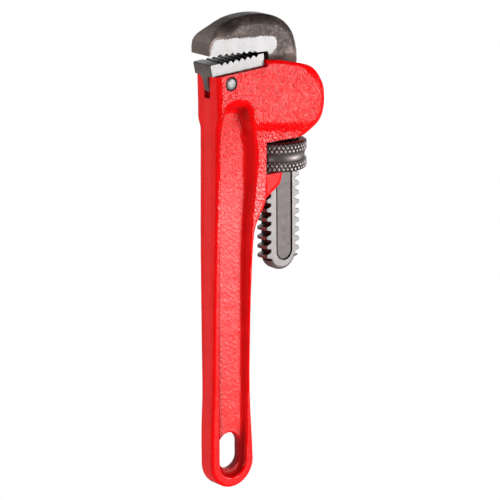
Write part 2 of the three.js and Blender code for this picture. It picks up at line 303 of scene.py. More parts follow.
class Nodes:
    def __init__(self, name):
        self.mat = bpy.data.materials.new(name)
        self.mat.use_nodes = True
        self.t = self.mat.node_tree
        self.bsdf = next(n for n in self.t.nodes if n.type == "BSDF_PRINCIPLED")
        self.out = next(n for n in self.t.nodes if n.type == "OUTPUT_MATERIAL")
        self.coord = self.t.nodes.new("ShaderNodeTexCoord")
        self.obj = self.coord.outputs["Object"]

    def new(self, kind, **kw):
        n = self.t.nodes.new(kind)
        for k, v in kw.items():
            setattr(n, k, v)
        return n

    def link(self, a, b):
        self.t.links.new(a, b)

    def put(self, socket, v):
        if isinstance(v, bpy.types.NodeSocket):
            self.link(v, socket)
        else:
            socket.default_value = v

    def mapped(self, scale=(1, 1, 1), rot=(0, 0, 0)):
        m = self.new("ShaderNodeMapping")
        m.inputs["Scale"].default_value = scale
        m.inputs["Rotation"].default_value = rot
        self.link(self.obj, m.inputs["Vector"])
        return m.outputs["Vector"]

    def noise(self, scale, detail=3, rough=0.5, vector=None, distortion=0.0):
        n = self.new("ShaderNodeTexNoise")
        n.inputs["Scale"].default_value = scale
        n.inputs["Detail"].default_value = detail
        n.inputs["Roughness"].default_value = rough
        n.inputs["Distortion"].default_value = distortion
        self.link(vector or self.obj, n.inputs["Vector"])
        return n.outputs["Fac"]

    def voronoi(self, scale, feature="F1", vector=None, smooth_f=None):
        n = self.new("ShaderNodeTexVoronoi", feature=feature)
        n.inputs["Scale"].default_value = scale
        self.link(vector or self.obj, n.inputs["Vector"])
        return n.outputs["Distance"]

    def ramp(self, fac, stops):
        r = self.new("ShaderNodeValToRGB")
        el = r.color_ramp.elements
        while len(el) < len(stops):
            el.new(0.5)
        for e, (p, c) in zip(el, stops):
            e.position = p
            e.color = (*c, 1) if len(c) == 3 else c
        self.link(fac, r.inputs["Fac"])
        return r.outputs["Color"]

    def math(self, op, a, b=None, clamp=False):
        n = self.new("ShaderNodeMath", operation=op, use_clamp=clamp)
        self.put(n.inputs[0], a)
        if b is not None:
            self.put(n.inputs[1], b)
        return n.outputs[0]

    def range(self, v, a, b, c=0.0, d=1.0, smooth_step=False):
        n = self.new("ShaderNodeMapRange")
        if smooth_step:
            n.interpolation_type = "SMOOTHSTEP"
        self.put(n.inputs["Value"], v)
        for k, x in (("From Min", a), ("From Max", b), ("To Min", c), ("To Max", d)):
            n.inputs[k].default_value = x
        return n.outputs["Result"]

    def mix(self, fac, a, b):
        n = self.new("ShaderNodeMix", data_type="RGBA")
        self.put(n.inputs[0], fac)
        self.put(n.inputs[6], (*a, 1) if isinstance(a, tuple) else a)
        self.put(n.inputs[7], (*b, 1) if isinstance(b, tuple) else b)
        return n.outputs[2]

    def split(self, vec):
        n = self.new("ShaderNodeSeparateXYZ")
        self.link(vec, n.inputs[0])
        return n.outputs

    def bump(self, height, strength, distance, under=None):
        n = self.new("ShaderNodeBump")
        self.put(n.inputs["Strength"], strength)
        n.inputs["Distance"].default_value = distance
        self.link(height, n.inputs["Height"])
        if under is not None:
            self.link(under, n.inputs["Normal"])
        return n.outputs["Normal"]

    def finish(self, color=None, rough=None, metal=None, normal=None, **fixed):
        i = self.bsdf.inputs
        if color is not None:
            self.put(i["Base Color"], (*color, 1) if isinstance(color, tuple) else color)
        if rough is not None:
            self.put(i["Roughness"], rough)
        if metal is not None:
            self.put(i["Metallic"], metal)
        if normal is not None:
            self.put(i["Normal"], normal)
        for k, v in fixed.items():
            i[k].default_value = v
        return self.mat


def paint():
    """Red enamel over a rough sand casting: grainy on the broad faces, smoother on the ground front and edges."""
    n = Nodes("red_enamel")
    nx, ny, nz = n.split(n.coord.outputs["Normal"])
    px, py, pz = n.split(n.obj)
    broad = n.range(n.math("ABSOLUTE", ny), 0.8, 0.98, 0.0, 1.0, True)
    head = n.range(pz, 0.135, 0.195, 0.30, 1.0, True)
    sunk = n.range(n.math("ABSOLUTE", py), 0.0030, 0.0022, 0.0, 1.0, True)
    head = n.math("MAXIMUM", head, n.math("MULTIPLY", sunk, n.range(pz, 0.06, 0.16, 0.04, 0.30)))
    head = n.math("MAXIMUM", n.math("MULTIPLY", head, n.range(pz, 0.10, 0.16, 0.0, 1.0)), n.math("MULTIPLY", head, sunk))
    grain = n.noise(950, 2.0, 0.55, n.mapped((1.0, 1.0, 0.62), (0, math.radians(-32), 0)))
    pits = n.voronoi(820, "SMOOTH_F1", n.mapped((1.0, 1.0, 0.7), (0, math.radians(-32), 0)))
    fine = n.noise(2300, 2.0, 0.5)
    height = n.math("ADD", n.math("MULTIPLY", grain, 1.0), n.math("MULTIPLY", pits, 0.55))
    height = n.math("ADD", height, n.math("MULTIPLY", fine, 0.16))
    amount = n.math("ADD", n.math("MULTIPLY", n.math("MULTIPLY", broad, head), 0.70), 0.03)
    coarse = n.bump(n.noise(150, 2.0, 0.5), 0.14, 0.0006)
    normal = n.bump(height, amount, 0.0013, coarse)
    tone = n.noise(90, 3.0, 0.6)
    color = n.ramp(tone, [(0.30, (0.74, 0.0012, 0.0022)), (0.70, (0.86, 0.0022, 0.0032))])
    # pits of the casting hold a deeper red
    color = n.mix(n.math("MULTIPLY", n.range(grain, 0.36, 0.58, 0.95, 0.0), n.math("ADD", n.math("MULTIPLY", broad, head), 0.10)), color, (0.50, 0.0006, 0.0015))
    # painted shade: the recess walls, the inner rim of the front rail and the floor strip beside the left wall are
    # darkened where shade falls
    shade = n.new("ShaderNodeAttribute", attribute_name="shade")
    color = n.mix(n.math("MULTIPLY", shade.outputs["Fac"], 0.62), color, (0.20, 0.0004, 0.001))
    # bare steel ring of the pin's countersink
    dx = n.math("SUBTRACT", px, (-18.3 - 6.35) * 0.001)
    dz = n.math("SUBTRACT", pz, (210.7 + 3.5) * 0.001)
    ring = n.math("SQRT", n.math("ADD", n.math("MULTIPLY", dx, dx), n.math("MULTIPLY", dz, dz)))
    bare = n.range(ring, 0.00362, 0.00378, 1.0, 0.0)
    color = n.mix(bare, color, (0.10, 0.085, 0.08))
    # painted shade: the hang hole's bowl is darkened; the same mask also makes the bowl rougher
    bowl = n.math("MULTIPLY", n.range(pz, 0.020, 0.034, 1.0, 0.0, True), n.range(n.math("ABSOLUTE", py), 0.0022, 0.0046, 1.0, 0.0, True))
    inside = n.math("SQRT", n.math("ADD", n.math("MULTIPLY", n.math("ADD", px, 0.02215), n.math("ADD", px, 0.02215)), 0.0))
    bowl = n.math("MULTIPLY", bowl, n.range(inside, 0.0085, 0.0098, 1.0, 0.0, True))
    color = n.mix(n.math("MULTIPLY", bowl, 0.8), color, (0.24, 0.0004, 0.0008))
    rough = n.range(n.noise(420, 2.0, 0.5), 0.3, 0.7, 0.23, 0.31)
    # sloping bands and walls cooled dull under the enamel
    level = n.math("ABSOLUTE", ny)
    slope = n.math("MULTIPLY", n.range(level, 0.25, 0.5, 0.0, 1.0, True), n.range(level, 0.955, 0.990, 1.0, 0.0, True))
    dull = n.new("ShaderNodeAttribute", attribute_name="dull")
    matt = n.math("MAXIMUM", n.math("MAXIMUM", dull.outputs["Fac"], bowl), n.math("MULTIPLY", sunk, 0.42))
    rough = n.math("SUBTRACT", rough, n.math("MULTIPLY", slope, 0.10))
    rough = n.math("ADD", rough, n.math("MULTIPLY", matt, 0.40))
    # the pitted broad faces glint more than the smooth sloping bands round them
    glint = n.math("SUBTRACT", 0.45, n.math("MULTIPLY", slope, 0.37))
    n.put(n.bsdf.inputs["Specular IOR Level"], glint)
    return n.finish(color, rough, n.math("MULTIPLY", bare, 0.8), normal)


def ground_steel():
    """Machined steel: fine straight grinding lines, faint stains."""
    n = Nodes("ground_steel")
    lines = n.noise(1.0, 3.0, 0.6, n.mapped((260, 260, 5200), (0, math.radians(4), 0)))
    stain = n.noise(170, 4.0, 0.6)
    color = n.ramp(stain, [(0.28, (0.207, 0.197, 0.195)), (0.62, (0.244, 0.237, 0.237))])
    rough = n.range(lines, 0.3, 0.7, 0.34, 0.5)
    normal = n.bump(lines, 0.10, 0.0001, n.bump(n.noise(300, 2.0, 0.5), 0.10, 0.0004))
    return n.finish(color, rough, 0.14, normal, **{"Specular IOR Level": 0.3})


def forged_steel():
    """Oil-blackened forging: mottled scale, brown and grey, with soft lighter patches: wear at the tip's front, and low
    on the neck wear with a painted highlight.
    """
    n = Nodes("forged_steel")
    big = n.noise(70, 5.0, 0.62, distortion=0.6)
    spots = n.noise(520, 4.0, 0.7)
    fac = n.math("ADD", n.math("MULTIPLY", big, 0.5), n.math("MULTIPLY", spots, 0.5))
    color = n.ramp(fac, [(0.36, (0.018, 0.0105, 0.009)), (0.50, (0.046, 0.0315, 0.027)), (0.64, (0.115, 0.087, 0.077))])
    px, py, pz = n.split(n.obj)
    # lighter patches: wear at the tip's front; low on the neck, wear together with a painted highlight
    worn = n.math("MAXIMUM", n.range(px, -0.024, -0.031, 0.0, 1.0, True), n.math("MULTIPLY", n.range(pz, 0.2285, 0.2255, 0.0, 0.8, True), n.range(px, 0.009, 0.016, 0.0, 1.0, True)))
    color = n.mix(n.math("MULTIPLY", worn, 0.55), color, (0.27, 0.205, 0.18))
    rough = n.range(spots, 0.3, 0.7, 0.62, 0.50)
    normal = n.bump(spots, 0.45, 0.0004, n.bump(n.noise(190, 3.0, 0.5), 0.35, 0.0008))
    return n.finish(color, rough, 0.40, normal, **{"Specular IOR Level": 0.35})


def side_steel():
    """The heel jaw's unground faces: even grey-brown, lightly pitted."""
    n = Nodes("brown_steel")
    spots = n.noise(650, 4.0, 0.65)
    tone = n.noise(140, 3.0, 0.6)
    color = n.ramp(tone, [(0.3, (0.125, 0.100, 0.092)), (0.7, (0.200, 0.166, 0.154))])
    normal = n.bump(spots, 0.30, 0.0003)
    return n.finish(color, n.range(spots, 0.3, 0.7, 0.42, 0.56), 0.45, normal)


def tooth_steel():
    """Cut tooth flanks: dark, with drag marks along the tooth."""
    n = Nodes("tooth_steel")
    drag = n.noise(1.0, 3.0, 0.6, n.mapped((2600, 260, 2600)))
    color = n.ramp(drag, [(0.3, (0.016, 0.013, 0.012)), (0.7, (0.045, 0.038, 0.036))])
    return n.finish(color, 0.42, 0.9, n.bump(drag, 0.2, 0.0001))


def nut_steel():
    """Oil-blackened knurl: bright only on the crests."""
    n = Nodes("nut_steel")
    a = n.new("ShaderNodeAttribute", attribute_name="crest")
    tone = n.noise(240, 4.0, 0.6)
    dark = n.ramp(tone, [(0.3, (0.022, 0.017, 0.016)), (0.7, (0.052, 0.043, 0.041))])
    color = n.mix(n.range(a.outputs["Fac"], 0.10, 1.0, 0.0, 1.0), dark, (0.38, 0.335, 0.33))
    rough = n.range(tone, 0.3, 0.7, 0.46, 0.58)
    return n.finish(color, rough, 0.9, n.bump(n.noise(1500, 2.0, 0.5), 0.15, 0.0001))


def thread_steel():
    """The shank's threads: dark in the roots, worn on the crests."""
    n = Nodes("thread_steel")
    a = n.new("ShaderNodeAttribute", attribute_name="crest")
    tone = n.noise(300, 4.0, 0.6)
    dark = n.ramp(tone, [(0.3, (0.020, 0.013, 0.013)), (0.7, (0.050, 0.038, 0.037))])
    color = n.mix(n.range(a.outputs["Fac"], 0.35, 1.0, 0.0, 0.9, True), dark, (0.24, 0.222, 0.22))
    return n.finish(color, n.range(tone, 0.3, 0.7, 0.36, 0.5), 0.85, n.bump(n.noise(900, 3.0, 0.5), 0.2, 0.0002))


def shank_face_steel():
    """The shank's milled border: light satin grey."""
    n = Nodes("shank_face_steel")
    lines = n.noise(1.0, 3.0, 0.6, n.mapped((3600, 300, 240)))
    stain = n.noise(150, 4.0, 0.6)
    color = n.ramp(stain, [(0.3, (0.199, 0.184, 0.185)), (0.7, (0.261, 0.243, 0.245))])
    return n.finish(color, n.range(lines, 0.3, 0.7, 0.40, 0.54), 0.16, n.bump(lines, 0.08, 0.0001), **{"Specular IOR Level": 0.3})


def panel_steel():
    """The shank's sunk panel: grey-brown forged skin."""
    n = Nodes("panel_steel")
    stain = n.noise(260, 4.0, 0.65)
    color = n.ramp(stain, [(0.3, (0.071, 0.058, 0.056)), (0.7, (0.159, 0.133, 0.129))])
    return n.finish(color, n.range(stain, 0.3, 0.7, 0.46, 0.6), 0.22, n.bump(n.noise(800, 3.0, 0.6), 0.3, 0.0002), **{"Specular IOR Level": 0.3})


def groove_steel():
    n = Nodes("groove_steel")
    stain = n.noise(400, 3.0, 0.6)
    return n.finish(n.ramp(stain, [(0.3, (0.012, 0.011, 0.011)), (0.7, (0.03, 0.027, 0.026))]), 0.6, 0.6)


def pin_steel():
    """A peened pin end: bright hammered steel."""
    n = Nodes("pin_steel")
    marks = n.voronoi(900, "SMOOTH_F1")
    color = n.ramp(n.noise(700, 3.0, 0.6), [(0.3, (0.15, 0.145, 0.142)), (0.7, (0.235, 0.23, 0.225))])
    return n.finish(color, 0.34, 0.16, n.bump(marks, 0.35, 0.0004), **{"Specular IOR Level": 0.3})


def spring_steel():
    """Blued spring steel."""
    n = Nodes("blued_spring_steel")
    tone = n.noise(500, 3.0, 0.6)
    color = n.ramp(tone, [(0.3, (0.10, 0.11, 0.14)), (0.7, (0.22, 0.22, 0.25))])
    return n.finish(color, n.range(tone, 0.3, 0.7, 0.28, 0.4), 1.0, n.bump(n.noise(2000, 2.0, 0.5), 0.1, 0.0001))


M_PAINT, M_GROUND, M_FORGED, M_SIDE = paint(), ground_steel(), forged_steel(), side_steel()
M_TOOTH, M_NUT, M_THREAD, M_FACE = tooth_steel(), nut_steel(), thread_steel(), shank_face_steel()
M_PANEL, M_GROOVE, M_PIN, M_SPRING = panel_steel(), groove_steel(), pin_steel(), spring_steel()

# ------------------------------------------------------------------------------------------------ the casting

SEAT_SLOPE = 0.0604
AXIS_X, PITCH, R_CREST, R_ROOT, CREST_PHASE = 18.3, 4.88, 11.5, 8.85, 127.85
PIN_X, PIN_Z = -18.3, 210.7
SPRING_Z = 197.0


def seat(x):
    return 214.6 + SEAT_SLOPE * (x + 28.7)


front_edge = spline([
    (-26.8, 230), (-26.7, 215.6), (-26.4, 202), (-26.3, 178), (-26.6, 150), (-27.2, 118), (-27.6, 90), (-27.8, 62),
    (-28.1, 46), (-28.9, 28), (-29, 9.9),
], 90)
back_edge = spline([
    (-2.2, 9.9), (-2.9, 24), (-3.7, 38), (-4.1, 55), (-3.8, 85), (-3.2, 106), (-2.5, 122), (-1.4, 132), (1.2, 137.8),
    (6.4, 144.4), (10.6, 147.8), (14.6, 151.2), (16.6, 154.6), (17.0, 160.0),
], 110)
head_arc = spline([
    (31.2, 176.2), (34.9, 178.2), (39.1, 181.9), (42.0, 186.2), (43.6, 191.3), (44.1, 196.2), (43.6, 201.2),
    (41.8, 205.6), (38.2, 210.6), (33.3, 213.6), (27.5, 215.4), (20, 217.2), (13, 218.9), (5.4, 219.9), (0, 220.6),
], 120)
casting_outline = Field(
    front_edge + arc(-15.6, 9.9, 13.4, 180, 360, 48)[1:-1] + back_edge + [(20, 162.6), (22, 173.8)] + head_arc + [(0, 230)]
)
recess_outline = Field(
    arc(-15.5, 10.2, 8.7, 180, 360, 30)
    + spline([(-6.7, 14), (-6.2, 31), (-5.5, 69), (-4.9, 106), (-3.8, 132), (-1.8, 153), (-0.6, 166), (-0.6, 171),
              (-0.9, 177), (-2.3, 183), (-4.2, 188.5), (-4.7, 193.8), (-5.9, 197.2), (-8.6, 200.1), (-14.1, 201.6),
              (-18.4, 201.0), (-21.6, 199.4), (-23.0, 196.6), (-23.4, 192), (-23.7, 177.5), (-24.2, 99), (-24.2, 14)], 150)
)


def half_low(z):
    return np.interp(z, [-6, 46, 100, 150, 178, 200, 230], [5.2, 5.35, 6.3, 7.35, 7.9, 8.3, 8.9])


def housing_f(x, y, z):
    ay = np.abs(y)
    d = casting_outline(x, z)
    low = half_low(z)
    # the head's raised plateau, with a soft step at its foot
    foot = 182.4 - 0.15 * x
    half = low + (9.9 - low) * step01(0.0, 1.0, (z - foot) / (7.2 + 0.04 * x))
    # the lip under the window thins towards its edge
    half = half - 0.12 * np.clip(160.5 - z, 0, 12) * step01(4.0, 7.0, x) - 0.25 * step01(4.5, 6.5, x) * step01(148, 152, z) * step01(166, 162, z)
    # rims: small on the handle, larger on the head's front, full on its back
    ra = 1.6 + 1.6 * step01(130, 200, z)
    back = step01(22, 36, x) * step01(150, 172, z)
    ra = ra + (8.0 - ra) * back
    rb = np.minimum(ra, 5.2)
    lip = step01(-2, 8, x) * step01(132, 142, z) * (1 - step01(164, 170, z))
    size = 5.4 - 2.2 * step01(150, 160, z)
    ra, rb = ra + (size - ra) * lip, rb + (2.9 - rb) * lip
    top = step01(3, 8, x) * step01(206, 214, z) * (1 - step01(24, 34, x))
    ra, rb = ra + (2.4 - ra) * top, rb + (2.2 - rb) * top
    outer = rim(d, ay, half + 0.06 * waves(x, y * 0.2, z, 15, 3), ra, rb)
    # I-beam recess: drafted walls, a web between, the wall laid back where it meets the head
    r = recess_outline(x, z)
    web = 2.1 + 0.09 * waves(x * 3.2, y * 0.0, z, 18, 5) + 0.05 * waves(x, y * 0, z, 6, 9)
    right = step01(-14, -6, x)
    draft = 0.48 + 0.30 * step01(150, 166, z) * (1 - step01(180, 186, z)) * right - 0.26 * step01(181, 188, z) * right
    draft = draft + 0.75 * step01(189, 199, z) * (1 - 0.55 * right)
    hole_d = -r - draft * np.maximum(half - ay, 0)
    edge = 0.5 + 0.6 * step01(135, 172, z)
    rails = smax(hole_d, ay - half, edge * 1.1)
    f = smax(outer, smin(rails, ay - web, 1.6), 0.05)
    # hang hole through the web
    hz = np.clip(z, 12.2, 18.9)
    hole = np.hypot(x + 16.1, z - hz) - 6.45
    f = smax(f, -hole, 0.8)
    # window of the nut
    ring = np.where(x < AXIS_X, np.hypot(x - AXIS_X, y), ay) - 15.1
    window = np.maximum(np.abs(z - 168.6) - 8.4, ring)
    f = smax(f, -window, 0.5)
    # channel of the shank, the fork below it, the spring's relief and pocket
    channel = np.maximum(np.maximum(4.9 - x, x - 30.3), np.maximum(ay - 4.7, 174.8 - z))
    f = smax(f, -channel, 0.8)
    fork = np.maximum(5.9 - x, np.maximum(ay - 4.7, z - 162.6))
    f = smax(f, -fork, 0.9)
    relief = np.maximum(np.maximum(3.3 - x, x - 5.9), np.maximum(ay - 4.1, np.abs(z - 194.3) - 19.5))
    f = np.maximum(f, -relief)
    coil = np.maximum(np.hypot(y, z - SPRING_Z) - 3.7, np.maximum(-3.5 - x, x - 6))
    f = np.maximum(f, -coil)
    # seat of the heel jaw, milled flat, and the slot of its tongue
    f = np.maximum(f, np.minimum(4.75 - x, z - seat(x)))
    slot = np.maximum(x + 8.4, np.maximum(ay - 2.35, 203 - z))
    f = smax(f, -slot, 0.35)
    # pin hole with its countersink
    pr = np.hypot(x - PIN_X, z - PIN_Z)
    f = np.maximum(f, 3.15 - pr)
    f = np.maximum(f, (3.6 - pr) - np.maximum(9.62 - ay, 0))
    return f


quick_k = 1.0
v, q = contour(housing_f, (-31.5, -11.5, -5.5), (46.5, 11.5, 222.5), 0.6 * quick_k)
housing = make_object("painted_housing", v, q)
thin(housing, 0.55)
smooth(housing, 38)
set_materials(housing, [M_PAINT])
co = np.empty(len(housing.data.vertices) * 3, np.float32)
housing.data.vertices.foreach_get("co", co)
mm = co.reshape(-1, 3) * 1000 - SHIFT
hx, hy, hz = mm[:, 0], np.abs(mm[:, 1]), mm[:, 2]
deep = half_low(hz) - hy
rim_r = recess_outline(hx, hz)
# painted shade: the recess walls are darkened, most at the top arch and down by the hang hole
wall = step01(0.6, 1.6, deep) * step01(2.3, 3.3, hy) * step01(-6.5, -4.0, rim_r) * (rim_r < 1.5)
wall = wall * (0.35 + 0.65 * np.maximum(step01(186, 196, hz), step01(34, 20, hz)))
# painted shade: a dark line along the inner rim of the front rail
line = step01(2.4, 1.4, deep) * step01(-1.8, -0.9, rim_r) * step01(0.75, 0.15, rim_r) * step01(-19, -21, hx)
# painted shade: a darker strip of the recess floor beside the left wall
near_wall_painted_shade = step01(-19.7, -20.9, hx) * step01(-24.6, -23.6, hx) * step01(2.9, 2.5, hy) * step01(8, 14, hz) * step01(196, 190, hz)
line = np.maximum(line, near_wall_painted_shade)
dull = housing.data.attributes.new("dull", "FLOAT", "POINT")
lip_zone = step01(4.5, 7.0, hx) * step01(140, 146, hz) * step01(163, 161, hz)
inside = step01(0.6, 1.6, deep) * step01(2.2, 3.0, hy) * (rim_r < 1.0) * step01(-7, -5, rim_r)
dull.data.foreach_set("value", np.clip(np.maximum(lip_zone, inside), 0, 1).astype(np.float32))
shade = housing.data.attributes.new("shade", "FLOAT", "POINT")
shade.data.foreach_set("value", np.clip(np.maximum(wall, 0.9 * line), 0, 1).astype(np.float32))
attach(housing, "handle")
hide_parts("handle_housing")

# ------------------------------------------------------------------------------------------------ heel jaw


def heel_top(x):
    return 221.05 + 0.07 * (x + 29.3)


heel_pts = [(-28.3, seat(-28.3) + 0.3), (4.3, seat(4.3) + 0.3), (4.0, heel_top(4.0) - 0.3), (3.6, heel_top(3.6))]
for i in range(6, -1, -1):
    c = -22.4 + i * 3.6
    heel_pts += [(c + 1.3, heel_top(c + 1.3)), (c + 0.06, heel_top(c) - 1.3), (c - 0.06, heel_top(c) - 1.3), (c - 1.3, heel_top(c - 1.3))]
heel_pts += [(-28.9, heel_top(-28.9)), (-29.5, heel_top(-29.5) - 0.7)]
heel_outline = Field(heel_pts, 0.1, 6)
tongue_outline = Field([(-26.5, 206.7), (-9, 206.7), (-9, 218), (-28.5, 218), (-28.3, 215.2), (-27.6, 212.2)], 0.15, 6)


def heel_f(x, y, z):
    ay = np.abs(y)
    block = smax(heel_outline(x, z), ay - 7.3, 0.25)
    tongue = smax(tongue_outline(x, z), ay - 2.0 - 1.5 * step01(211.2, 215.4, z) ** 2 * (x < -27.0), 0.3)
    f = smin(block, tongue, 0.25)
    return np.maximum(f, 3.1 - np.hypot(x - PIN_X, z - PIN_Z))


v, q = contour(heel_f, (-30.5, -8.3, 205.5), (5.3, 8.3, 224.5), 0.36 * quick_k)
heel = make_object("heel_jaw_body", v, q)
thin(heel, 0.5)
smooth(heel, 30)
c, nn = face_data(heel)
side = (np.abs(nn[:, 1]) > 0.8) & (np.abs(c[:, 1]) > 7.0)
teeth = (nn[:, 2] > 0.3) & (c[:, 2] > 219.0)
set_materials(heel, [M_SIDE, M_GROUND, M_TOOTH], np.where(side, 1, np.where(teeth, 2, 0)))
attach(heel, "handle")
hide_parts("heel_jaw")


def revolve(name, profile, axis, origin, around, closed=True):
    """A turned piece. profile is (radius, along), axis 'x', 'y' or 'z', origin in drawing mm."""
    prof = np.asarray(profile, float)
    m = len(prof)
    a = np.linspace(0, 2 * math.pi, around, endpoint=False)
    verts = np.empty((around, m, 3))
    cr, sr = np.cos(a)[:, None] * prof[None, :, 0], np.sin(a)[:, None] * prof[None, :, 0]
    al = np.broadcast_to(prof[None, :, 1], (around, m))
    if axis == "y":
        verts[..., 0], verts[..., 2], verts[..., 1] = sr, cr, al
    elif axis == "x":
        verts[..., 1], verts[..., 2], verts[..., 0] = cr, sr, al
    else:
        verts[..., 0], verts[..., 1], verts[..., 2] = cr, sr, al
    verts = verts.reshape(-1, 3) + np.asarray(origin, float)
    i = np.arange(around)
    quads = []
    for k in range(m - 1):
        a0, a1 = i * m + k, ((i + 1) % around) * m + k
        quads.append(np.stack([a0, a1, a1 + 1, a0 + 1], 1))
    ob = make_object(name, verts, np.concatenate(quads))
    return ob


def weld(ob, dist=1e-6):
    import bmesh

    bm = bmesh.new()
    bm.from_mesh(ob.data)
    bmesh.ops.remove_doubles(bm, verts=bm.verts, dist=dist)
    bmesh.ops.dissolve_degenerate(bm, edges=bm.edges, dist=dist * 0.5)
    bmesh.ops.recalc_face_normals(bm, faces=bm.faces)
    bm.to_mesh(ob.data)
    bm.free()


def dome(r, y0, y1, crown):
    """Profile of a pin with softly peened ends."""
    pts = [(0, y0 - crown)]
    for t in (0.25, 0.5, 0.75, 0.92):
        pts.append((r * t, y0 - crown * (1 - t**2.6)))
    pts += [(r - 0.04, y0 + 0.12), (r, y0 + 0.35), (r, (y0 + y1) / 2), (r, y1 - 0.35), (r - 0.04, y1 - 0.12)]
    for t in (0.92, 0.75, 0.5, 0.25):
        pts.append((r * t, y1 + crown * (1 - t**2.6)))
    pts.append((0, y1 + crown))
    return pts


pin = revolve("peened_pin", dome(2.9, -9.65, 9.65, 0.35), "y", (PIN_X, 0, PIN_Z), 48)
weld(pin)
co = np.empty(len(pin.data.vertices) * 3, np.float32)
pin.data.vertices.foreach_get("co", co)
co = co.reshape(-1, 3)
mm = co * 1000 - SHIFT
ends = np.clip((np.abs(mm[:, 1]) - 9.4) / 0.5, 0, 1)
co[:, 1] += np.sign(mm[:, 1]) * 0.00009 * ends * waves(mm[:, 0], mm[:, 1] * 0, mm[:, 2], 2.3, 8)
pin.data.vertices.foreach_set("co", co.ravel())
smooth(pin, 40)
set_materials(pin, [M_PIN])
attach(pin, "handle")
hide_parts("heel_jaw_pin")

# ------------------------------------------------------------------------------------------------ hook jaw

hook_teeth = []
for i in range(7):
    t = -25.2 + i * 3.65
    z = 225.5 if i == 0 else 224.95 - 0.08 * i
    hook_teeth += [(t - 0.08, z), (t + 0.08, z), (t + 1.85, 226.25 - 0.12 * i)]
hook_outer = spline([
    (27.2, 212), (27.2, 216.6), (27.1, 221.5), (26.3, 226.4), (24.6, 231.0), (21.8, 235.2), (17.2, 239.0), (11.0, 241.7),
    (3.6, 243.2), (-4.2, 243.5), (-11.8, 242.7), (-17.9, 240.9), (-23.1, 238.4), (-27.2, 235.3), (-29.7, 232.0),
    (-30.4, 229.0),
], 110)
hook_outline = Field(
    [(-30.3, 225.7), (-27.6, 225.7), (-26.9, 226.2)] + hook_teeth[:-1]
    + [(-2.1, 225.2), (-0.6, 224.3), (5.2, 224.2), (6.3, 223.8), (6.7, 222.8), (7.0, 218.0), (7.0, 212)] + hook_outer,
    0.1, 9,
)
outer_only = Field([(-60, 225.7), (-60, 180), (27.2, 180)] + hook_outer + [(-30.4, 225.7)], 0.25, 9)
ground_band = Field(
    [(-29.6, 224), (-29.3, 226.0), (-28.7, 229), (-27.7, 231.8), (-26.6, 232.9), (-24.9, 233.3), (7.7, 231.6)]
    + arc(7.7, 227.4, 4.2, 84, -60, 14) + [(8.0, 222.0), (-29.6, 222.0)], 0.15, 8,
)


def thread_wave(u, grow=0.0):
    return np.clip(0.5 + grow + 0.72 * np.cos(2 * math.pi * u), 0, 1)


shank_end = Field(
    [(AXIS_X - 12, 190), (AXIS_X - 12, 113.8)] + arc(AXIS_X, 116.6, 9.2, 205, 335, 40)
    + [(AXIS_X + 12, 113.8), (AXIS_X + 12, 190)], 0.15, 8,
)
panel_outline = Field(arc(19.1, 117.6, 5.2, 180, 360, 30) + [(24.3, 173), (23.0, 176), (15.2, 176), (13.9, 173)], 0.12, 6)


def shank_f(x, y, z):
    ay = np.abs(y)
    a = np.arctan2(y, x - AXIS_X)
    w = thread_wave((z - CREST_PHASE) / PITCH - a / (2 * math.pi))
    w = w * w * (3 - 2 * w) * 0.55 + w * 0.45
    rod = (np.hypot(x - AXIS_X, y) - (R_ROOT + (R_CREST - R_ROOT) * w)) * 0.72
    upper = np.maximum(7.0 - x, x - 27.2)
    t = step01(177.3, 178.6, z)
    f = rod * (1 - t) + upper * t
    e = shank_end(x, z)
    f = smax(f, e, 0.5)
    f = smax(f, ay - 4.15, 0.35)
    # bevelled end
    f = smax(f, (e + ay - 4.15 + 1.5) * 0.7071, 0.5)
    # sunk panel with a groove around it
    p = panel_outline(x, z)
    f = np.maximum(f, -smax(p, 4.15 - 0.33 - ay, 0.2))
    f = np.maximum(f, -smax(np.abs(p + 0.5) - 0.46, 4.15 - 0.95 - ay, 0.25))
    return f


def hook_head_f(x, y, z):
    ay = np.abs(y)
    d = hook_outline(x, z)
    o = outer_only(x, z)
    # a forging that is fullest along its middle
    half = 8.05 - 0.8 * step01(-9.0, -1.0, o) * step01(-28, -21, x) + 0.06 * waves(x, y, z, 11, 21)
    tip = step01(-20, -28, x) * (0.45 + 0.55 * step01(238, 232, z))
    ra = 5.4 - 4.3 * tip
    body = rim(o, ay, half, ra, 4.4 - 3.4 * tip)
    f = smax(body, d, 0.3)
    g = ground_band(x, z)
    f = np.maximum(f, -np.maximum(g, 7.6 - ay))
    # sides that taper into the shank as they enter the head
    neck = step01(222.0, 214.5, z)
    f = np.maximum(f, ay - (7.6 - 3.3 * neck))
    return f


def hook_f(x, y, z):
    f = hook_head_f(x, y, z)
    # shank of the hook above the thread
    ay = np.abs(y)
    bar = smax(smax(7.0 - x, x - 27.2, 0.5), ay - 4.15, 0.6)
    bar = np.maximum(bar, z - 222.5)
    lower = np.maximum(f, 214.0 - z)
    return smin(lower, bar, 1.0)


v, q = contour(hook_f, (-31.8, -9.3, 177.2), (28.8, 9.3, 245.0), 0.46 * quick_k)
keep = v[:, 2] > 177.5
hook_head = make_object("hook_jaw_head", v, q)
v2, q2 = contour(shank_f, (5.5, -5.2, 106.0), (31.0, 5.2, 179.2), 0.36 * quick_k)
shank = make_object("hook_jaw_shank", v2, q2)

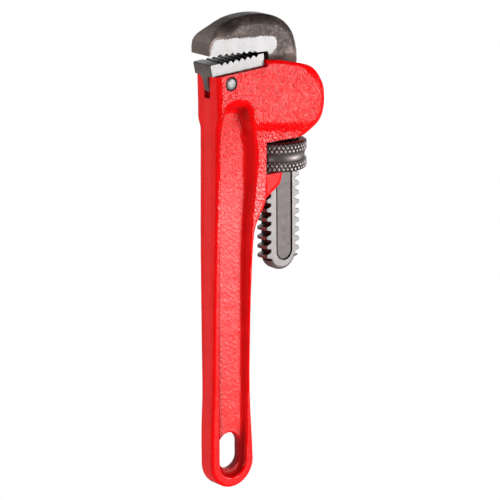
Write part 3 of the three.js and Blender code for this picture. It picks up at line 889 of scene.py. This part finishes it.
c, nn = face_data(hook_head)
g = ground_band(c[:, 0], c[:, 2])
band = (np.abs(nn[:, 1]) > 0.9) & (np.abs(c[:, 1]) < 7.75) & (g < 0.25) & (c[:, 2] > 222.6)
tooth = (nn[:, 2] < -0.3) & (c[:, 2] < 227.0) & (c[:, 2] > 223.5) & (c[:, 0] < 3.0) & (c[:, 0] > -28.0)
bar = (c[:, 2] < 214.0)
thin(hook_head, 0.62)
c, nn = face_data(hook_head)
g = ground_band(c[:, 0], c[:, 2])
band = (np.abs(nn[:, 1]) > 0.9) & (np.abs(c[:, 1]) < 7.72) & (g < 0.2) & (c[:, 2] > 222.6)
tooth = (nn[:, 2] < -0.3) & (c[:, 2] < 227.0) & (c[:, 2] > 223.5) & (c[:, 0] < 3.0) & (c[:, 0] > -28.0)
smooth(hook_head, 34)
set_materials(hook_head, [M_FORGED, M_GROUND, M_TOOTH], np.where(band, 1, np.where(tooth, 2, 0)))

thin(shank, 0.6)
c, nn = face_data(shank)
flat = np.abs(nn[:, 1]) > 0.9
ayc = np.abs(c[:, 1])
mi = np.full(len(c), 0)
mi[flat & (ayc > 4.05)] = 1
mi[flat & (ayc > 3.5) & (ayc <= 4.05) & (panel_outline(c[:, 0], c[:, 2]) < 0)] = 2
mi[(ayc < 3.95) & (ayc > 2.9) & (panel_outline(c[:, 0], c[:, 2]) < 0.1) & ~(flat & (ayc > 3.5)) & (np.hypot(c[:, 0] - AXIS_X, 0) < 8.0)] = 3
smooth(shank, 30)
end_d = shank_end(c[:, 0], c[:, 2])
mi[(mi == 0) & (end_d > -1.9) & (c[:, 2] < 113.0)] = 4
set_materials(shank, [M_THREAD, M_FACE, M_PANEL, M_GROOVE, M_SIDE], mi)
crest = shank.data.attributes.new("crest", "FLOAT", "POINT")
co = np.empty(len(shank.data.vertices) * 3, np.float32)
shank.data.vertices.foreach_get("co", co)
mm = co.reshape(-1, 3) * 1000 - SHIFT
rad = np.hypot(mm[:, 0] - AXIS_X, mm[:, 1])
crest.data.foreach_set("value", np.clip((rad - R_ROOT - 0.9) / (R_CREST - R_ROOT - 0.9), 0, 1).astype(np.float32))

for ob in (hook_head, shank):
    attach(ob, "hook_jaw")
    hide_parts("hook_jaw")

# ------------------------------------------------------------------------------------------------ adjusting nut

NUT_Z0, NUT_Z1, NUT_R = 161.3, 176.15, 14.75
mid = (NUT_Z0 + NUT_Z1) / 2
AROUND = 432
KNURLS = 40


def nut_profile():
    """Outer surface from the bottom face to the top: (radius, height, knurl depth)."""
    pts = [(9.9, NUT_Z0 + 0.9, 0), (10.4, NUT_Z0 + 0.25, 0), (11.0, NUT_Z0, 0), (12.4, NUT_Z0, 0), (13.5, NUT_Z0, 0), (14.0, NUT_Z0 + 0.25, 0.15)]
    for z in np.linspace(NUT_Z0 + 0.75, mid - 2.45, 21):
        pts.append((NUT_R, z, 1.0))
    pts += [(NUT_R - 0.3, mid - 2.15, 0.25), (NUT_R - 0.55, mid - 1.9, 0)]
    for t in np.linspace(-1, 1, 13)[1:-1]:
        pts.append((NUT_R - 0.55 - 0.5 * math.cos(t * math.pi / 2) ** 0.9, mid + 1.85 * t, 0))
    pts += [(NUT_R - 0.55, mid + 1.9, 0), (NUT_R - 0.3, mid + 2.15, 0.25)]
    for z in np.linspace(mid + 2.45, NUT_Z1 - 0.75, 21):
        pts.append((NUT_R, z, 1.0))
    pts += [(14.0, NUT_Z1 - 0.25, 0.15), (13.5, NUT_Z1, 0), (12.4, NUT_Z1, 0), (11.0, NUT_Z1, 0), (10.4, NUT_Z1 - 0.25, 0), (9.9, NUT_Z1 - 0.9, 0)]
    return pts


prof = np.array(nut_profile())
a = np.linspace(0, 2 * math.pi, AROUND, endpoint=False)[:, None]
zz, rr, kd = prof[None, :, 1], prof[None, :, 0], prof[None, :, 2]
u = KNURLS * a / (2 * math.pi)
s1 = np.abs(((u + zz / 3.7) % 1.0) - 0.5) * 2
s2 = np.abs(((u - zz / 3.7) % 1.0) - 0.5) * 2
pyramid = np.minimum(s1, s2)
pyramid = np.clip(pyramid * 1.7, 0, 1)
outer_r = rr - kd * 0.62 * (1 - pyramid)
crest_outer = np.where(kd > 0.5, pyramid, np.where((zz > mid - 2) & (zz < mid + 2), 0.52, 0.0)) * np.ones_like(outer_r)
# threaded bore
rows_in = 44
z_in = np.linspace(NUT_Z1 - 0.9, NUT_Z0 + 0.9, rows_in)[None, :]
w_in = thread_wave((z_in - CREST_PHASE) / PITCH - a / (2 * math.pi), 0.17)
in_r = R_ROOT + 0.35 + (R_CREST - R_ROOT) * w_in
lead = np.clip(np.minimum(NUT_Z1 - z_in, z_in - NUT_Z0) / 0.9, 0, 1.6)
in_r = np.where(lead < 1.2, np.maximum(in_r, 9.9 + (1 - lead) * 0.2), in_r)
R = np.concatenate([outer_r, in_r], 1)
Z = np.concatenate([zz * np.ones_like(outer_r), z_in * np.ones_like(in_r)], 1)
m = R.shape[1]
verts = np.stack([AXIS_X + R * np.cos(a), R * np.sin(a), Z], 2).reshape(-1, 3)
i = np.arange(AROUND)[:, None]
k = np.arange(m)[None, :]
a0, a1 = i * m + k, ((i + 1) % AROUND) * m + k
b0, b1 = i * m + (k + 1) % m, ((i + 1) % AROUND) * m + (k + 1) % m
quads = np.stack([a0, a1, b1, b0], 2).reshape(-1, 4)
nut = make_object("knurled_nut", verts, quads)
at = nut.data.attributes.new("crest", "FLOAT", "POINT")
at.data.foreach_set("value", np.concatenate([crest_outer, np.zeros_like(in_r)], 1).astype(np.float32).ravel())
smooth(nut, 28)
set_materials(nut, [M_NUT])
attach(nut, "adjusting_nut")
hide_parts("adjusting_nut")

# ------------------------------------------------------------------------------------------------ spring set


def tube(name, path, r, sides=14):
    """A round wire along a path in drawing mm, with closed, slightly rounded ends."""
    p = np.asarray(path, float)
    n = len(p)
    t = np.gradient(p, axis=0)
    t /= np.linalg.norm(t, axis=1)[:, None]
    up = np.array([1.0, 0.0, 0.0])
    rings = []
    for j in range(n):
        side = np.cross(t[j], up)
        side /= np.linalg.norm(side)
        other = np.cross(side, t[j])
        ang = np.linspace(0, 2 * math.pi, sides, endpoint=False)
        rings.append(p[j] + r * (np.cos(ang)[:, None] * side + np.sin(ang)[:, None] * other))
    for at_start in (True, False):
        j = 0 if at_start else n - 1
        d = -t[j] if at_start else t[j]
        base = rings[0] if at_start else rings[-1]
        inner = [p[j] + (base - p[j]) * s + d * r * o for s, o in ((0.8, 0.32), (0.02, 0.5))]
        rings = inner[::-1] + rings if at_start else rings + inner
    v = np.concatenate(rings)
    m = len(rings)
    j, k = np.arange(m - 1)[:, None], np.arange(sides)[None, :]
    f = np.stack([j * sides + k, j * sides + (k + 1) % sides, (j + 1) * sides + (k + 1) % sides, (j + 1) * sides + k], 2)
    return make_object(name, v, f.reshape(-1, 4))


x0, x1, turns = -3.2 + 0.45, 4.4 - 0.45, 5
s = np.linspace(0, 1, 220)
ease = np.clip((s - 0.1) / 0.8, 0, 1)  # closed end turns
path = np.stack([x0 + (x1 - x0) * ease, 2.75 * np.cos(2 * math.pi * turns * s), SPRING_Z + 2.75 * np.sin(2 * math.pi * turns * s)], 1)
coil = tube("coil_spring_wire", path, 0.43)
weld(coil)
smooth(coil, 60)
set_materials(coil, [M_SPRING])
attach(coil, "handle")
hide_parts("coil_spring")
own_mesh(coil)

leaf_outline = Field([
    (5.85, 179), (6.5, 179), (6.4, 181.5), (6.4, 210.4), (6.25, 212.1), (5.6, 213.05), (5.2, 212.7), (5.55, 211.7),
    (5.75, 210), (5.75, 181.5),
], 0.05, 3)


def leaf_f(x, y, z):
    f = smax(leaf_outline(x, z), np.abs(y) - 3.5, 0.15)
    corner = np.hypot(np.maximum(np.abs(y) - 2.6, 0), np.maximum(179.9 - z, 0)) - 0.9
    f = np.maximum(f, np.where((np.abs(y) > 2.6) & (z < 179.9), corner, -1))
    return np.maximum(f, 1.3 - np.hypot(y, z - SPRING_Z))


v, q = contour(leaf_f, (4.6, -4.1, 178.4), (7.1, 4.1, 213.7), 0.24 * quick_k)
leaf = make_object("flat_spring_leaf", v, q)
thin(leaf, 0.4)
smooth(leaf, 34)
set_materials(leaf, [M_SPRING])
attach(leaf, "spring_set")
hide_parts("flat_spring")

rivet = revolve("rivet_of_springs", [
    (0, 0), (0.7, 0.05), (1.0, 0.3), (1.1, 0.7), (1.1, 4.7), (1.6, 4.76), (1.95, 4.95), (2.0, 5.2), (1.9, 5.42), (1.1, 5.5), (1.1, 6.2),
    (0.95, 6.34), (0, 6.38),
], "x", (0, 0, SPRING_Z), 28)
weld(rivet)
smooth(rivet, 40)
set_materials(rivet, [M_SPRING])
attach(rivet, "spring_set")
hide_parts("spring_rivet")

# ------------------------------------------------------------------------------------------------ stage


def light_path_emission(name, seen, fill, mirrored):
    """A plain pale surface: white to the eye, a soft fill for the object, and dimmer in reflections."""
    mat = bpy.data.materials.new(name)
    mat.use_nodes = True
    t = mat.node_tree
    t.nodes.clear()
    out = t.nodes.new("ShaderNodeOutputMaterial")
    em = t.nodes.new("ShaderNodeEmission")
    lp = t.nodes.new("ShaderNodeLightPath")
    a = t.nodes.new("ShaderNodeMapRange")
    a.inputs["To Min"].default_value = fill
    a.inputs["To Max"].default_value = mirrored
    b = t.nodes.new("ShaderNodeMapRange")
    b.inputs["To Max"].default_value = seen
    t.links.new(lp.outputs["Is Glossy Ray"], a.inputs["Value"])
    t.links.new(lp.outputs["Is Camera Ray"], b.inputs["Value"])
    t.links.new(a.outputs["Result"], b.inputs["To Min"])
    t.links.new(b.outputs["Result"], em.inputs["Strength"])
    t.links.new(em.outputs["Emission"], out.inputs["Surface"])
    return mat


me = bpy.data.meshes.new("floor")
me.from_pydata([(-6, -6, 0), (6, -6, 0), (6, 6, 0), (-6, 6, 0)], [], [(0, 1, 2, 3)])
floor = bpy.data.objects.new("floor", me)
scene.collection.objects.link(floor)
me.materials.append(light_path_emission("pale_floor", 1.0, 1.05, 0.15))
floor.location.z = -0.0002

world = bpy.data.worlds.new("studio")
scene.world = world
world.use_nodes = True
t = world.node_tree
t.nodes.clear()
out = t.nodes.new("ShaderNodeOutputWorld")
bg = t.nodes.new("ShaderNodeBackground")
lp = t.nodes.new("ShaderNodeLightPath")
mr = t.nodes.new("ShaderNodeMapRange")
mr.inputs["To Min"].default_value = 0.05
mr.inputs["To Max"].default_value = 1.0
bg.inputs["Color"].default_value = (1, 1, 1, 1)
t.links.new(lp.outputs["Is Camera Ray"], mr.inputs["Value"])
t.links.new(mr.outputs["Result"], bg.inputs["Strength"])
t.links.new(bg.outputs["Background"], out.inputs["Surface"])


def area(name, location, target, size, power, color=(1, 1, 1), size_y=None):
    data = bpy.data.lights.new(name, "AREA")
    data.energy = power
    data.color = color
    data.shape = "RECTANGLE"
    data.size = size
    data.size_y = size_y or size
    ob = bpy.data.objects.new(name, data)
    ob.location = location
    ob.rotation_euler = (Vector(target) - Vector(location)).to_track_quat("-Z", "Y").to_euler()
    scene.collection.objects.link(ob)
    return ob


mid_point = (0, 0, 0.13)
area("card_low", (0.50, -0.66, 0.06), (0, 0, 0.15), 0.40, 13.5, size_y=0.34)
area("left", (-1.45, -0.15, 0.35), mid_point, 0.6, 8.4)
area("top", (-0.1, -0.2, 1.5), mid_point, 1.0, 1.8)
area("back_right", (0.8, 1.4, 0.8), mid_point, 0.8, 4.0)
area("back_left", (-0.5, 1.3, 0.9), mid_point, 0.8, 6.0)
area("card_back", (0.62, 0.55, 0.08), (0, 0, 0.15), 0.5, 5.0, size_y=0.42)
for ob in scene.objects:
    if ob.type == "LIGHT":
        ob.visible_camera = False

cam_data = bpy.data.cameras.new("camera")
cam = bpy.data.objects.new("camera", cam_data)
scene.collection.objects.link(cam)
cam_data.sensor_width = 36.0
cam_data.lens = 220.9
cam_data.clip_start = 0.05
cam_data.clip_end = 30
psi, phi, dist = math.radians(37.03), math.radians(14.81), 1.573
back = Vector((-math.sin(psi) * math.cos(phi), -math.cos(psi) * math.cos(phi), math.sin(phi)))
target = Vector((-0.00635, 0, 0.1235))
fwd = -back
right = fwd.cross(Vector((0, 0, 1))).normalized()
up = right.cross(fwd)
roll = math.radians(-0.34)
r2 = math.cos(roll) * right + math.sin(roll) * up
u2 = -math.sin(roll) * right + math.cos(roll) * up
rot = Matrix((r2, u2, back)).transposed().to_4x4()
cam.matrix_world = Matrix.Translation(target + back * dist) @ rot
scene.camera = cam
scene.view_settings.view_transform = "Standard"
scene.view_settings.look = "None"
